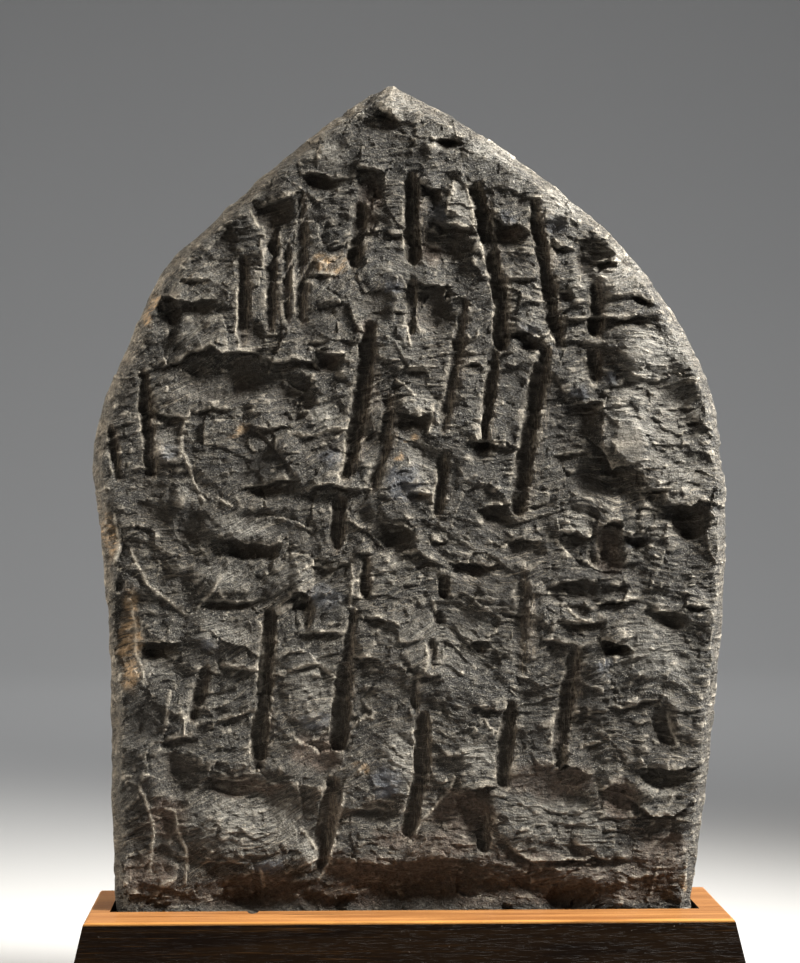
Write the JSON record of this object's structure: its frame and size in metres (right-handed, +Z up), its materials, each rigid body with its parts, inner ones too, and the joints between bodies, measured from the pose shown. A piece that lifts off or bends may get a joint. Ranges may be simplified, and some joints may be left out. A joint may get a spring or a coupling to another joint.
{
  "type": "carved stone stele",
  "caption": "Leaf-shaped slab of dark stone, its visible face rough-hewn with long point-chisel strokes, standing upright in a slot in a battered wooden plinth.",
  "frame": {"origin": "middle of the plinth's underside", "axes": "+Z up, the rough-hewn face in the picture looks along -Y, +X to the right of a viewer who faces it"},
  "size_m": [0.5436, 0.1884, 0.744],
  "materials": {
    "dark_stone": "matte",
    "plinth_wood": "satin",
    "rail_wood": "satin"
  },
  "bodies": {
    "root": {"stele": "dark_stone", "plinth_block": "plinth_wood", "plinth_front_rail": "rail_wood"}
  },
  "joints": []
}
